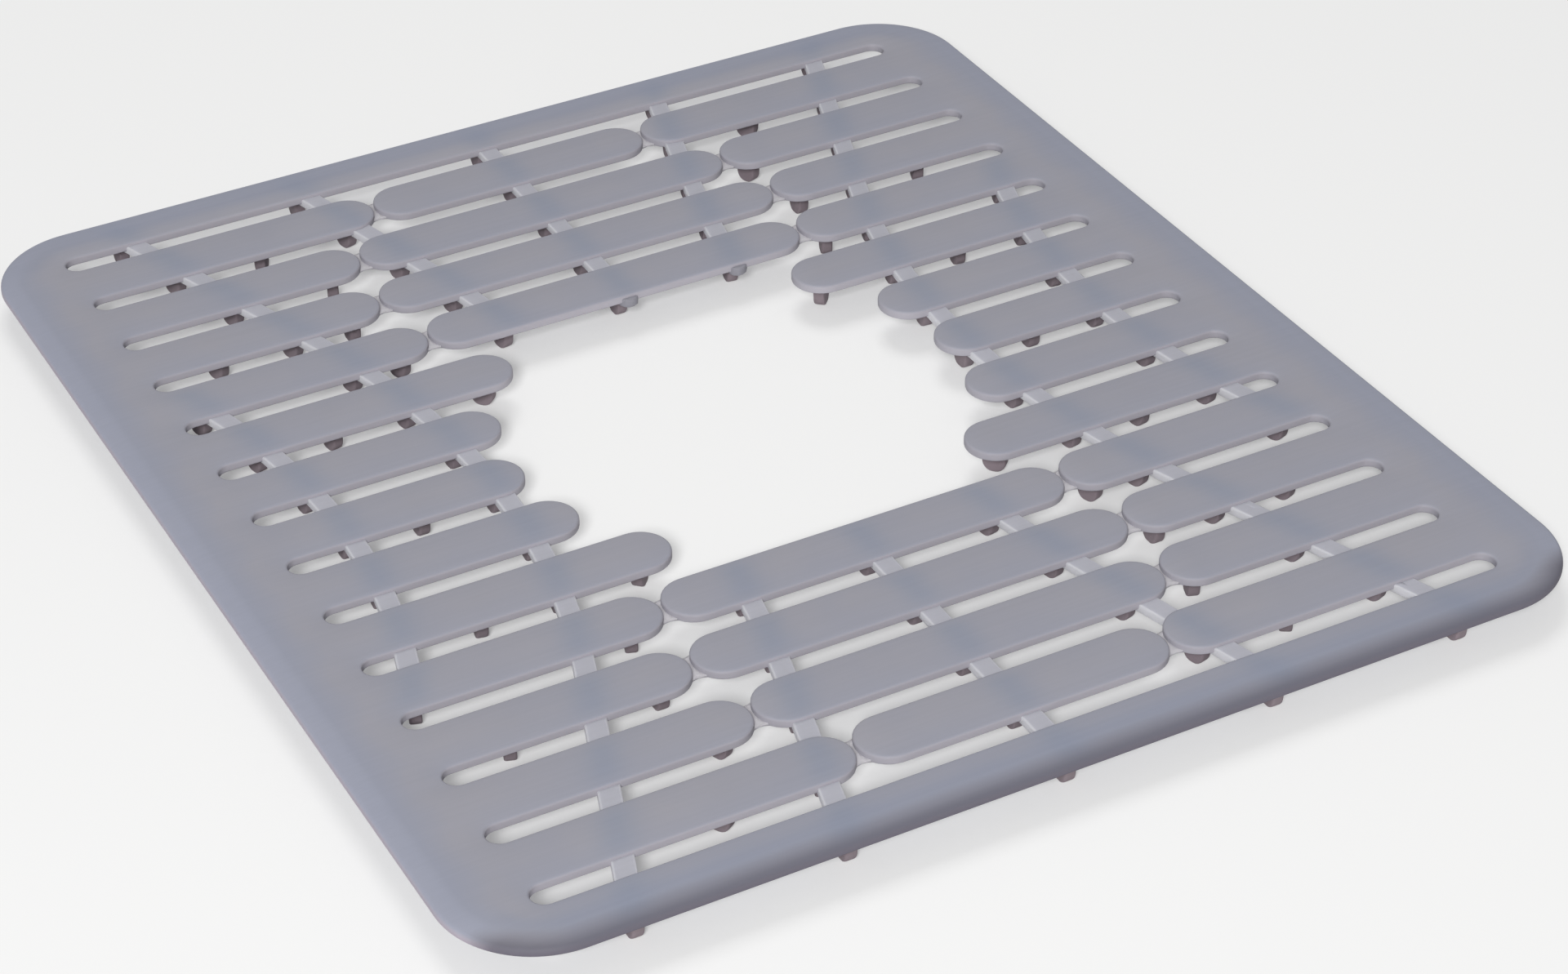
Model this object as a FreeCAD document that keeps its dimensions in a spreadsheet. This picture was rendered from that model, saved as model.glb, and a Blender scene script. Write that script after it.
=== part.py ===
import FreeCAD, Part
import math
import os

import Sketcher

# Kitchen sink mat: one flexible moulding, built as its rim, slats, ribs, snip webs and feet.
# Frame: origin under the middle of the mat on the surface it stands on, X to the right along the
# slats, Y from the front to the back, Z up. All lengths are in millimetres.

ROWS = 13
MIDDLE_ROW = 7
BACK_CENTRE_ROWS = (1, 2, 3, 4)
FRONT_CENTRE_ROWS = (10, 11, 12, 13)
OUTER_RIB_ROWS = (4, 5, 6, 7, 8, 9, 10)
TIP_FOOT_ROWS = (2, 3, 4, 5, 9, 10, 11, 12)
MID_FOOT_ROWS = (1, 3, 5, 7, 9, 11, 13)
# The slat tips follow three circles, whose centres lie on these rows.
CIRCLE_ROWS = (3, 7, 11)

# How a sketch names the ends and the centre of a line or arc, its origin and its two axes.
START, END, CENTRE = range(1, 4)
ORIGIN_POINT = (-1, 1)
X_AXIS, Y_AXIS = -1, -2

UP = FreeCAD.Vector(0, 0, 1)
TOLERANCE = 1e-6

SIZES = (
    ("mat_width", 284.5, "overall size across X"),
    ("mat_height", 10.0, "from the surface to the top of the slats"),
    ("corner_radius", 24.0, "rounding of the mat's four corners in plan"),
    ("skin_thickness", 2.5, "thickness of the rim and the slats"),
    ("edge_round", 0.9, "rounding of the top edges of slats, slots and rim"),
    ("slope_width", 6.5, "width of the slope along the rim's outer edge"),
    ("slope_drop", 0.7, "how far that slope falls"),
    ("band_width", 19.0, "from the mat's side to the slots' ends"),
    ("border_width", 14.175, "from the mat's end to the first slot"),
    ("row_pitch", 22.25, "from one row of slats to the next"),
    ("slot_width", 6.65, "gap between two rows"),
    ("opening_radius", 58.1, "circle that the slat tips stand around"),
    ("tip_gap", 1.0, "least gap between a side slat's tip and its centre slat"),
    ("rib_width", 5.3, "width of every rib"),
    ("rib_drop", 1.2, "from the top of the slats down to the top of the ribs"),
    ("rib_depth", 2.3, "from the top of a rib to its underside"),
    ("stub_length", 1.5, "how far two of the ribs at the back stand out past their last slat"),
    ("main_bend", 244.0, "radius of the main ribs at their waist"),
    ("main_lean", 18.9, "angle of the main ribs' straight ends, degrees"),
    ("outer_inset", 37.375, "from the mat's side to the outer rib's waist"),
    ("outer_bend", 207.0, "radius of the outer ribs"),
    ("inner_inset", 30.5, "from the opening's circle in to the inner ribs' curve, on the middle row"),
    ("inner_bend", 409.0, "radius of the inner ribs"),
    ("inner_lean", 14.8, "angle of the inner ribs' straight ends, degrees"),
    ("border_foot_inset", 7.1, "from the mat's end to the feet under the border"),
    ("foot_width", 7.2, "a foot's long side where it leaves the mat"),
    ("foot_tip_width", 5.5, "a foot's long side at the surface, before its corners are rounded"),
    ("foot_thickness", 3.0, "a foot's short side"),
    ("foot_corner", 2.6, "rounding of a foot's two bottom corners"),
    ("foot_edge", 0.6, "rounding along a foot's bottom"),
    ("web_thickness", 0.7, "thickness of a snip web"),
    ("web_length", 6.6, "length of a snip web along the gap that it crosses"),
    ("web_hollow", 1.9, "radius of a snip web's hollow ends"),
)

doc = FreeCAD.newDocument("sink_mat")
sheet = doc.addObject("Spreadsheet::Sheet", "sizes")
for line, (alias, value, meaning) in enumerate(SIZES, start=1):
    sheet.set(f"A{line}", alias)
    sheet.set(f"B{line}", str(value))
    sheet.set(f"C{line}", meaning)
    sheet.setAlias(f"B{line}", alias)
doc.recompute()

# Lengths that follow from the sheet, as expressions for the features to be bound to.
SLAT_WIDTH = "(sizes.row_pitch - sizes.slot_width)"
SLAT_HALF = f"({SLAT_WIDTH} / 2)"
HALF_WIDTH = "(sizes.mat_width / 2)"
HALF_LENGTH = f"({ROWS} / 2 * sizes.row_pitch + sizes.slot_width / 2 + sizes.border_width)"
SLOT_END = f"({HALF_WIDTH} - sizes.band_width)"
SLAT_ROOT = f"({SLOT_END} - sizes.slot_width / 2)"
SKIN_BOTTOM = "(sizes.mat_height - sizes.skin_thickness)"
RIB_BOTTOM = "(sizes.mat_height - sizes.rib_drop - sizes.rib_depth)"
MAIN_WAIST = f"(sizes.opening_radius + {SLAT_HALF})"
OUTER_WAIST = f"({HALF_WIDTH} - sizes.outer_inset)"
INNER_WAIST = "(sizes.opening_radius - sizes.inner_inset)"
BORDER_FOOT = f"({HALF_LENGTH} - sizes.border_foot_inset)"
RIB_END = f"({BORDER_FOOT} + sizes.foot_width / 2 - sizes.rib_width / 2)"
# Rows from the middle of the mat to the last row that a rib holds.
CENTRE_STEPS = MIDDLE_ROW - BACK_CENTRE_ROWS[-1]
OUTER_RIB_STEPS = MIDDLE_ROW - OUTER_RIB_ROWS[0]
STUB_END = (f"({CENTRE_STEPS} * sizes.row_pitch - {SLAT_HALF} - sizes.stub_length"
            f" + sizes.rib_width / 2)")
# Most inner and centre ribs stop short of that, out of sight under their last slat.
HIDDEN_END = f"({CENTRE_STEPS} * sizes.row_pitch - (sizes.foot_width - sizes.rib_width) / 2)"


def size(alias):
    """A driving dimension as a plain number."""
    return float(sheet.get(alias))


def length(expression):
    """The value of one of the expressions above, as a plain number."""
    result = sheet.evalExpression(expression)
    return float(getattr(result, "Value", result))


def cap_centre(row):
    """Expression for how far from the middle a row's tip is centred, so that it meets its circle."""
    steps = min(abs(row - circle) for circle in CIRCLE_ROWS)
    reach = f"(sizes.opening_radius + {SLAT_HALF})"
    return f"sqrt({reach} * {reach} - {steps * steps} * sizes.row_pitch * sizes.row_pitch)"


def row_line(row):
    """Expression for the place of a row's centre line along Y."""
    return f"{MIDDLE_ROW - row} * sizes.row_pitch"


def bind(item, **expressions):
    """Bind plain properties of an object to expressions."""
    for name, expression in expressions.items():
        item.setExpression(name, expression)


def place(item, x="0", y="0", z="0", turn=0.0):
    """Turn an object about Z and bind its place to expressions."""
    item.Placement = FreeCAD.Placement(FreeCAD.Vector(), turned(turn))
    item.setExpression("Placement.Base.x", x)
    item.setExpression("Placement.Base.y", y)
    item.setExpression("Placement.Base.z", z)


def point(x, y):
    return FreeCAD.Vector(x, y, 0)


def turned(angle):
    """A rotation about Z, in degrees."""
    return FreeCAD.Rotation(UP, angle)


def new_body(name):
    body = doc.addObject("PartDesign::Body", name)
    body.Label = name
    return body


def origin_item(body, role):
    """One of the body's own origin planes or axes."""
    return next(item for item in body.Origin.OriginFeatures if item.Role == role)


def new_sketch(body, name, role="XY_Plane"):
    sketch = body.newObject("Sketcher::SketchObject", name)
    sketch.AttachmentSupport = [(origin_item(body, role), "")]
    sketch.MapMode = "FlatFace"
    return sketch


def limit(sketch, kind, *places, to=None):
    """Add one constraint, and bind its value to an expression where it has one."""
    if to is None:
        sketch.addConstraint(Sketcher.Constraint(kind, *places))
        return
    number = math.radians(length(to)) if kind == "Angle" else length(to)
    index = sketch.addConstraint(Sketcher.Constraint(kind, *places, number))
    sketch.setExpression(f"Constraints[{index}]", to)


def add_line(sketch, start, end):
    return sketch.addGeometry(Part.LineSegment(start, end))


def add_arc(sketch, centre, radius, low, high):
    """Add an arc that runs anticlockwise between two angles, in radians."""
    return sketch.addGeometry(Part.ArcOfCircle(Part.Circle(centre, UP, radius), low, high))


def pad(body, sketch, name, **expressions):
    feature = body.newObject("PartDesign::Pad", name)
    feature.Profile = sketch
    bind(feature, **expressions)
    sketch.Visibility = False
    doc.recompute()
    return feature


def edges_where(shape, wanted):
    """Names of the shape's edges that pass the test."""
    return [f"Edge{index}" for index, edge in enumerate(shape.Edges, start=1) if wanted(edge)]


def at_height(edge, height):
    box = edge.BoundBox
    return abs(box.ZMin - height) < TOLERANCE and abs(box.ZMax - height) < TOLERANCE


def round_edges(body, feature, names, name, radius):
    fillet = body.newObject("PartDesign::Fillet", name)
    fillet.Base = (feature, names)
    bind(fillet, Radius=radius)
    doc.recompute()
    return fillet


def long_hole(sketch, radius, low, high, across=True, offset=None):
    """An outline with two round ends, whose end arcs are centred at two places along one axis.

    It lies along X where across is true, and along Y otherwise, beside the axis by the offset."""
    places = [length(low), length(high)]
    aside = length(offset) if offset else 0.0
    half = length(radius)
    turn = 0.0 if across else math.pi / 2
    first, last = (point(along, aside) if across else point(aside, along) for along in places)
    side = point(0, half) if across else point(-half, 0)
    far_side = add_line(sketch, last + side, first + side)
    low_end = add_arc(sketch, first, half, turn + math.pi / 2, turn + 3 * math.pi / 2)
    near_side = add_line(sketch, first - side, last - side)
    high_end = add_arc(sketch, last, half, turn - math.pi / 2, turn + math.pi / 2)
    outline = (far_side, low_end, near_side, high_end)
    for part, following in zip(outline, outline[1:] + outline[:1]):
        limit(sketch, "Tangent", part, END, following, START)
    limit(sketch, "Equal", low_end, high_end)
    limit(sketch, "Radius", high_end, to=radius)
    along, sideways = ("DistanceX", "DistanceY") if across else ("DistanceY", "DistanceX")
    for arc, place_along in ((low_end, low), (high_end, high)):
        limit(sketch, along, *ORIGIN_POINT, arc, CENTRE, to=place_along)
        if offset:
            limit(sketch, sideways, *ORIGIN_POINT, arc, CENTRE, to=offset)
        else:
            limit(sketch, "PointOnObject", arc, CENTRE, X_AXIS if across else Y_AXIS)


# ---------------------------------------------------------------- slats

def slat(name, row, turn):
    """A bar with a round tip. A side slat ends flat at the rim, a centre slat is round both ends."""
    body = new_body(name)
    sketch = new_sketch(body, f"{name}_outline")
    half = length(SLAT_HALF)
    root = length(SLAT_ROOT)
    tip = length(cap_centre(row))
    near_side = add_line(sketch, point(tip, -half), point(root, -half))
    root_end = add_line(sketch, point(root, -half), point(root, half))
    far_side = add_line(sketch, point(root, half), point(tip, half))
    round_tip = add_arc(sketch, point(tip, 0), half, math.pi / 2, 3 * math.pi / 2)
    limit(sketch, "Coincident", near_side, END, root_end, START)
    limit(sketch, "Coincident", root_end, END, far_side, START)
    limit(sketch, "Tangent", far_side, END, round_tip, START)
    limit(sketch, "Tangent", round_tip, END, near_side, START)
    limit(sketch, "Horizontal", near_side)
    limit(sketch, "Horizontal", far_side)
    limit(sketch, "Vertical", root_end)
    limit(sketch, "PointOnObject", round_tip, CENTRE, X_AXIS)
    limit(sketch, "Radius", round_tip, to=SLAT_HALF)
    limit(sketch, "DistanceX", *ORIGIN_POINT, root_end, START, to=SLAT_ROOT)
    limit(sketch, "DistanceX", *ORIGIN_POINT, round_tip, CENTRE, to=cap_centre(row))
    bar = pad(body, sketch, f"{name}_bar", Length="sizes.skin_thickness")
    top = size("skin_thickness")
    names = edges_where(
        bar.Shape, lambda edge: at_height(edge, top) and edge.BoundBox.XMin < root - TOLERANCE)
    round_edges(body, bar, names, f"{name}_round", "sizes.edge_round")
    place(body, y=row_line(row), z=SKIN_BOTTOM, turn=turn)
    return body


def centre_slat(name, row):
    """A loose bar between two side slats, round at both ends, a small gap away from each."""
    body = new_body(name)
    sketch = new_sketch(body, f"{name}_outline")
    reach = f"({cap_centre(row)} - {SLAT_WIDTH} - sizes.tip_gap)"
    long_hole(sketch, SLAT_HALF, f"-{reach}", reach)
    bar = pad(body, sketch, f"{name}_bar", Length="sizes.skin_thickness")
    names = edges_where(bar.Shape, lambda edge: at_height(edge, size("skin_thickness")))
    round_edges(body, bar, names, f"{name}_round", "sizes.edge_round")
    place(body, y=row_line(row), z=SKIN_BOTTOM)
    return body


# ---------------------------------------------------------------- rim

def slotted_blank():
    """The whole mat as a slotted sheet with its outer slope. The four rim pieces are cut from it."""
    body = new_body("slotted_blank")
    outline = new_sketch(body, "blank_outline")
    across = length(HALF_WIDTH)
    along = length(HALF_LENGTH)
    corner = size("corner_radius")
    flat_x = across - corner
    flat_y = along - corner
    sides = [
        add_line(outline, point(across, -flat_y), point(across, flat_y)),
        add_line(outline, point(flat_x, along), point(-flat_x, along)),
        add_line(outline, point(-across, flat_y), point(-across, -flat_y)),
        add_line(outline, point(-flat_x, -along), point(flat_x, -along)),
    ]
    centres = (point(flat_x, flat_y), point(-flat_x, flat_y),
               point(-flat_x, -flat_y), point(flat_x, -flat_y))
    arcs = [add_arc(outline, centre, corner, number * math.pi / 2, (number + 1) * math.pi / 2)
            for number, centre in enumerate(centres)]
    for number in range(4):
        limit(outline, "Tangent", sides[number], END, arcs[number], START)
        limit(outline, "Tangent", arcs[number], END, sides[(number + 1) % 4], START)
        limit(outline, "Horizontal" if number % 2 else "Vertical", sides[number])
    for arc in arcs[1:]:
        limit(outline, "Equal", arcs[0], arc)
    limit(outline, "Symmetric", arcs[0], CENTRE, arcs[2], CENTRE, *ORIGIN_POINT)
    limit(outline, "Radius", arcs[0], to="sizes.corner_radius")
    limit(outline, "DistanceX", *ORIGIN_POINT, sides[0], START, to=HALF_WIDTH)
    limit(outline, "DistanceY", *ORIGIN_POINT, sides[1], START, to=HALF_LENGTH)
    sheet_pad = pad(body, outline, "blank_sheet", Length="sizes.skin_thickness")

    top = size("skin_thickness")
    slope = body.newObject("PartDesign::Chamfer", "blank_slope")
    slope.Base = (sheet_pad, edges_where(sheet_pad.Shape, lambda edge: at_height(edge, top)))
    slope.ChamferType = "Two distances"
    bind(slope, Size="sizes.slope_drop", Size2="sizes.slope_width")
    doc.recompute()
    flat_top = max(slope.Shape.Faces, key=lambda face: face.CenterOfMass.z)
    if abs(flat_top.BoundBox.XMax - across + size("slope_width")) > TOLERANCE:
        slope.FlipDirection = True
        doc.recompute()
    lip = top - size("slope_drop")
    rounded = round_edges(body, slope, edges_where(slope.Shape, lambda edge: at_height(edge, lip)),
                          "blank_round", "sizes.edge_round")

    slot_sketch = new_sketch(body, "slot_outline")
    long_hole(slot_sketch, "sizes.slot_width / 2", f"-{SLAT_ROOT}", SLAT_ROOT,
              offset=f"-{ROWS} / 2 * sizes.row_pitch")
    slot = body.newObject("PartDesign::Pocket", "slot")
    slot.Profile = slot_sketch
    slot.Type = "ThroughAll"
    slot.Midplane = True
    doc.recompute()
    cut_away = rounded.Shape.Volume - slot.Shape.Volume
    if cut_away < 2 * length(SLAT_ROOT) * size("slot_width") * top:
        raise RuntimeError("the slot cuts too little")
    slots = body.newObject("PartDesign::LinearPattern", "slots")
    slots.Originals = [slot]
    slots.Direction = (origin_item(body, "Y_Axis"), [""])
    bind(slots, Length=f"{ROWS} * sizes.row_pitch")
    slots.Occurrences = ROWS + 1
    body.Tip = slots
    doc.recompute()

    last_slot = along - size("border_width") + TOLERANCE

    def slot_rim(edge):
        box = edge.BoundBox
        return at_height(edge, top) and box.XMax < length(SLOT_END) + TOLERANCE \
            and box.YMax < last_slot and box.YMin > -last_slot

    round_edges(body, slots, edges_where(slots.Shape, slot_rim), "slot_round", "sizes.edge_round")
    place(body, z=SKIN_BOTTOM)
    return body


def rim_piece(name, blank, low_x, low_y, wide, deep):
    """The part of the blank that lies inside one upright box."""
    region = doc.addObject("Part::Box", f"{name}_region")
    bind(region, Length=wide, Width=deep, Height="sizes.skin_thickness")
    place(region, x=low_x, y=low_y, z=SKIN_BOTTOM)
    piece = doc.addObject("Part::Common", name)
    piece.Label = name
    piece.Base = blank
    piece.Tool = region
    return piece


def rim(blank):
    band = f"({HALF_WIDTH} - {SLAT_ROOT})"
    between = f"({SLAT_ROOT} * 2)"
    whole = f"({HALF_LENGTH} * 2)"
    first_slot = f"({HALF_LENGTH} - sizes.border_width)"
    return [
        rim_piece("left_band", blank, f"-{HALF_WIDTH}", f"-{HALF_LENGTH}", band, whole),
        rim_piece("right_band", blank, SLAT_ROOT, f"-{HALF_LENGTH}", band, whole),
        rim_piece("back_border", blank, f"-{SLAT_ROOT}", first_slot, between, "sizes.border_width"),
        rim_piece("front_border", blank, f"-{SLAT_ROOT}", f"-{HALF_LENGTH}", between, "sizes.border_width"),
    ]


# ---------------------------------------------------------------- ribs

def rib_line_x(y, waist, bend, lean=None):
    """Where a rib's centre line lies across X: an arc about its waist, then a straight tangent."""
    y = abs(y)
    last = bend * math.sin(math.radians(lean)) if lean else y
    arc_y = min(y, last)
    x = waist + bend - math.sqrt(bend * bend - arc_y * arc_y)
    if y > last:
        x += (y - last) * math.tan(math.radians(lean))
    return x


def rib_lean_at(y, bend, lean=None):
    """Direction of a rib's centre line at a place along Y, degrees from the Y axis."""
    angle = math.degrees(math.asin(min(abs(y) / bend, 1.0)))
    if lean:
        angle = min(angle, lean)
    return math.copysign(angle, y)


def main_rib_x(y):
    return rib_line_x(y, length(MAIN_WAIST), size("main_bend"), size("main_lean"))


def main_rib_lean(y):
    return rib_lean_at(y, size("main_bend"), size("main_lean"))


def outer_rib_x(y):
    return rib_line_x(y, length(OUTER_WAIST), size("outer_bend"))


def inner_rib_x(y):
    return rib_line_x(y, length(INNER_WAIST), size("inner_bend"), size("inner_lean"))


def rib_arc(line, waist, bend, low_y, high_y):
    """Add the bent stretch of a rib's centre line, between two places along Y."""
    centre_x = waist + bend
    low = math.pi - math.asin(high_y / bend)
    high = math.pi - math.asin(low_y / bend)
    return add_arc(line, point(centre_x, 0), bend, low, high)


def main_rib_line(line):
    """Straight, bent about the waist, and straight again, the same at both ends."""
    waist, bend, lean = length(MAIN_WAIST), size("main_bend"), math.radians(size("main_lean"))
    turn_y = bend * math.sin(lean)
    end_y = length(RIB_END)
    arc = rib_arc(line, waist, bend, -turn_y, turn_y)
    turn_x, end_x = main_rib_x(turn_y), main_rib_x(end_y)
    back = add_line(line, point(turn_x, turn_y), point(end_x, end_y))
    front = add_line(line, point(turn_x, -turn_y), point(end_x, -end_y))
    limit(line, "Tangent", arc, START, back, START)
    limit(line, "Tangent", arc, END, front, START)
    limit(line, "PointOnObject", arc, CENTRE, X_AXIS)
    limit(line, "Symmetric", back, END, front, END, X_AXIS)
    limit(line, "Radius", arc, to="sizes.main_bend")
    limit(line, "DistanceX", *ORIGIN_POINT, arc, CENTRE, to=f"{MAIN_WAIST} + sizes.main_bend")
    limit(line, "DistanceY", *ORIGIN_POINT, back, END, to=RIB_END)
    limit(line, "Angle", back, START, Y_AXIS, START, to="sizes.main_lean")


def outer_rib_line(line):
    """One arc, as long as the rows that it holds."""
    waist, bend = length(OUTER_WAIST), size("outer_bend")
    end = f"{OUTER_RIB_STEPS} * sizes.row_pitch + (sizes.foot_width - sizes.rib_width) / 2"
    end_y = length(end)
    arc = rib_arc(line, waist, bend, -end_y, end_y)
    limit(line, "PointOnObject", arc, CENTRE, X_AXIS)
    limit(line, "Radius", arc, to="sizes.outer_bend")
    limit(line, "DistanceX", *ORIGIN_POINT, arc, CENTRE, to=f"{OUTER_WAIST} + sizes.outer_bend")
    limit(line, "DistanceY", *ORIGIN_POINT, arc, START, to=end)
    limit(line, "DistanceY", arc, END, *ORIGIN_POINT, to=end)


def inner_rib_line(line, start=STUB_END):
    """Bent from the drain opening outwards, then straight under the border."""
    waist, bend, lean = length(INNER_WAIST), size("inner_bend"), math.radians(size("inner_lean"))
    turn_y = bend * math.sin(lean)
    start_y, end_y = length(start), length(RIB_END)
    arc = rib_arc(line, waist, bend, start_y, turn_y)
    back = add_line(line, point(inner_rib_x(turn_y), turn_y), point(inner_rib_x(end_y), end_y))
    limit(line, "Tangent", arc, START, back, START)
    limit(line, "PointOnObject", arc, CENTRE, X_AXIS)
    limit(line, "Radius", arc, to="sizes.inner_bend")
    limit(line, "DistanceX", *ORIGIN_POINT, arc, CENTRE, to=f"{INNER_WAIST} + sizes.inner_bend")
    limit(line, "DistanceY", *ORIGIN_POINT, arc, END, to=start)
    limit(line, "DistanceY", *ORIGIN_POINT, back, END, to=RIB_END)
    limit(line, "Angle", back, START, Y_AXIS, START, to="sizes.inner_lean")


def hidden_rib_line(line):
    """An inner rib that stops out of sight, under its last slat."""
    inner_rib_line(line, HIDDEN_END)


def rib(name, draw_line, skin, flip=None):
    """A strip along a centre line, cut away where the slats and the rim lie in it.

    The line is drawn at the back right, and turned half round about one axis for another quarter."""
    line = doc.addObject("Sketcher::SketchObject", f"{name}_line")
    draw_line(line)
    if flip:
        line.Placement = FreeCAD.Placement(FreeCAD.Vector(), FreeCAD.Rotation(flip, 180))
    doc.recompute()
    plan = doc.addObject("Part::Offset2D", f"{name}_plan")
    plan.Source = line
    plan.Fill = True
    bind(plan, Value="sizes.rib_width / 2")
    strip = doc.addObject("Part::Extrusion", f"{name}_strip")
    strip.Base = plan
    strip.DirMode = "Custom"
    strip.Dir = UP
    strip.Solid = True
    bind(strip, LengthFwd="sizes.rib_depth")
    place(strip, z=RIB_BOTTOM)
    piece = doc.addObject("Part::Cut", name)
    piece.Label = name
    piece.Base = strip
    piece.Tool = skin
    return piece


def centre_rib(name, skin, turn, start=STUB_END):
    """The straight rib along the middle of the mat."""
    strip = new_body(f"{name}_strip")
    sketch = new_sketch(strip, f"{name}_plan")
    long_hole(sketch, "sizes.rib_width / 2", start, RIB_END, across=False)
    pad(strip, sketch, f"{name}_bar", Length="sizes.rib_depth")
    place(strip, z=RIB_BOTTOM, turn=turn)
    piece = doc.addObject("Part::Cut", name)
    piece.Label = name
    piece.Base = strip
    piece.Tool = skin
    return piece


# ---------------------------------------------------------------- snip webs

def snip_web():
    """One thin web, centred in the gap between two facing tips, hollow at both free ends."""
    body = new_body("snip_web")
    sketch = new_sketch(body, "web_outline")
    half = length(SLAT_HALF)
    centre = f"({SLAT_HALF} + sizes.tip_gap / 2)"
    centre_x = length(centre)
    reach = size("web_length") / 2
    spread = math.asin(reach / half)
    corner_x = centre_x - half * math.cos(spread)
    hollow = size("web_hollow")
    hollow_y = reach + math.sqrt(hollow * hollow - corner_x * corner_x)
    fan = math.asin(corner_x / hollow)
    right = add_arc(sketch, point(centre_x, 0), half, math.pi - spread, math.pi + spread)
    left = add_arc(sketch, point(-centre_x, 0), half, -spread, spread)
    back = add_arc(sketch, point(0, hollow_y), hollow, 1.5 * math.pi - fan, 1.5 * math.pi + fan)
    front = add_arc(sketch, point(0, -hollow_y), hollow, math.pi / 2 - fan, math.pi / 2 + fan)
    limit(sketch, "Coincident", right, START, back, END)
    limit(sketch, "Coincident", left, END, back, START)
    limit(sketch, "Coincident", right, END, front, START)
    limit(sketch, "Coincident", left, START, front, END)
    for arc in (left, right):
        limit(sketch, "PointOnObject", arc, CENTRE, X_AXIS)
        limit(sketch, "Radius", arc, to=SLAT_HALF)
    for arc in (back, front):
        limit(sketch, "Radius", arc, to="sizes.web_hollow")
    limit(sketch, "DistanceX", *ORIGIN_POINT, right, CENTRE, to=centre)
    limit(sketch, "DistanceX", left, CENTRE, *ORIGIN_POINT, to=centre)
    limit(sketch, "DistanceY", *ORIGIN_POINT, right, START, to="sizes.web_length / 2")
    limit(sketch, "DistanceY", *ORIGIN_POINT, left, END, to="sizes.web_length / 2")
    limit(sketch, "DistanceY", right, END, *ORIGIN_POINT, to="sizes.web_length / 2")
    limit(sketch, "DistanceY", left, START, *ORIGIN_POINT, to="sizes.web_length / 2")
    pad(body, sketch, "web_sheet", Length="sizes.web_thickness")
    return body


# ---------------------------------------------------------------- feet

def foot(name, top):
    """A blade that stands on the surface: its long side along Y, its corners and edges rounded."""
    body = new_body(name)
    sketch = new_sketch(body, f"{name}_side", "YZ_Plane")
    wide = size("foot_width") / 2
    narrow = size("foot_tip_width") / 2
    high = length(top)
    corners = [point(-wide, high), point(-narrow, 0), point(narrow, 0), point(wide, high)]
    edges = [add_line(sketch, start, end) for start, end in zip(corners, corners[1:] + corners[:1])]
    bottom, seat = edges[1], edges[3]
    for edge, following in zip(edges, edges[1:] + edges[:1]):
        limit(sketch, "Coincident", edge, END, following, START)
    limit(sketch, "PointOnObject", bottom, START, X_AXIS)
    limit(sketch, "Symmetric", bottom, START, bottom, END, Y_AXIS)
    limit(sketch, "Symmetric", seat, START, seat, END, Y_AXIS)
    limit(sketch, "DistanceX", bottom, START, bottom, END, to="sizes.foot_tip_width")
    limit(sketch, "DistanceX", seat, END, seat, START, to="sizes.foot_width")
    limit(sketch, "DistanceY", bottom, START, seat, START, to=top)
    blade = pad(body, sketch, f"{name}_blade", Length="sizes.foot_thickness")
    blade.Midplane = True
    doc.recompute()
    corner_names = edges_where(
        blade.Shape, lambda edge: at_height(edge, 0) and edge.BoundBox.YLength < TOLERANCE)
    rounded = round_edges(body, blade, corner_names, f"{name}_corners", "sizes.foot_corner")
    edge_names = edges_where(
        rounded.Shape, lambda edge: at_height(edge, 0) and edge.BoundBox.XLength < TOLERANCE)
    round_edges(body, rounded, edge_names, f"{name}_edges", "sizes.foot_edge")
    return body


def row_y(row):
    return (MIDDLE_ROW - row) * size("row_pitch")


def circle_lean(x, row):
    """How far a foot leans, in degrees, to stand along the circle at its own end of the mat."""
    if row == MIDDLE_ROW:
        return 0.0
    circle_row = CIRCLE_ROWS[0] if row < MIDDLE_ROW else CIRCLE_ROWS[-1]
    return -math.degrees(math.atan2(row_y(row) - row_y(circle_row), x))


def border_y():
    return length(BORDER_FOOT)


def main_stations():
    places = [row_y(row) for row in range(1, ROWS + 1)]
    stations = [(main_rib_x(y), y, main_rib_lean(y)) for y in places]
    return stations + [(main_rib_x(y), y, 0.0) for y in (border_y(), -border_y())]


def outer_stations():
    return [(outer_rib_x(row_y(row)), row_y(row), rib_lean_at(row_y(row), size("outer_bend")))
            for row in OUTER_RIB_ROWS]


def mid_stations():
    """Feet under a slat, midway between the main rib and the next rib or the slots' ends."""
    stations = []
    for row in MID_FOOT_ROWS:
        y = row_y(row)
        lean = main_rib_lean(y)
        if row in (1, ROWS):
            x = (main_rib_x(y) + inner_rib_x(y)) / 2
            lean = circle_lean(x, row)
        elif row in OUTER_RIB_ROWS:
            x = (main_rib_x(y) + outer_rib_x(y)) / 2
        else:
            x = (main_rib_x(y) + length(SLOT_END)) / 2
        stations.append((x, y, lean))
    return stations


def tip_stations():
    """Feet under the round tips."""
    stations = []
    for row in TIP_FOOT_ROWS:
        x = length(cap_centre(row))
        y = row_y(row)
        stations.append((x, y, circle_lean(x, row)))
    return stations


def inner_and_centre_stations():
    """Feet at the back, under the inner and the centre ribs."""
    stations = []
    for row in BACK_CENTRE_ROWS:
        y = row_y(row)
        x = inner_rib_x(y)
        lean = rib_lean_at(y, size("inner_bend"), size("inner_lean"))
        stations += [(x, y, lean), (0.0, y, 0.0), (-x, y, -lean)]
    x = inner_rib_x(border_y())
    return stations + [(place_x, border_y(), 0.0) for place_x in (x, 0.0, -x)]


def web_stations():
    """The middles of the gaps at the back, between side slats and centre slats."""
    stations = []
    for row in BACK_CENTRE_ROWS:
        x = length(cap_centre(row)) - length(SLAT_HALF) - size("tip_gap") / 2
        stations += [(x, row_y(row), 0.0), (-x, row_y(row), 0.0)]
    return stations


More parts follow.
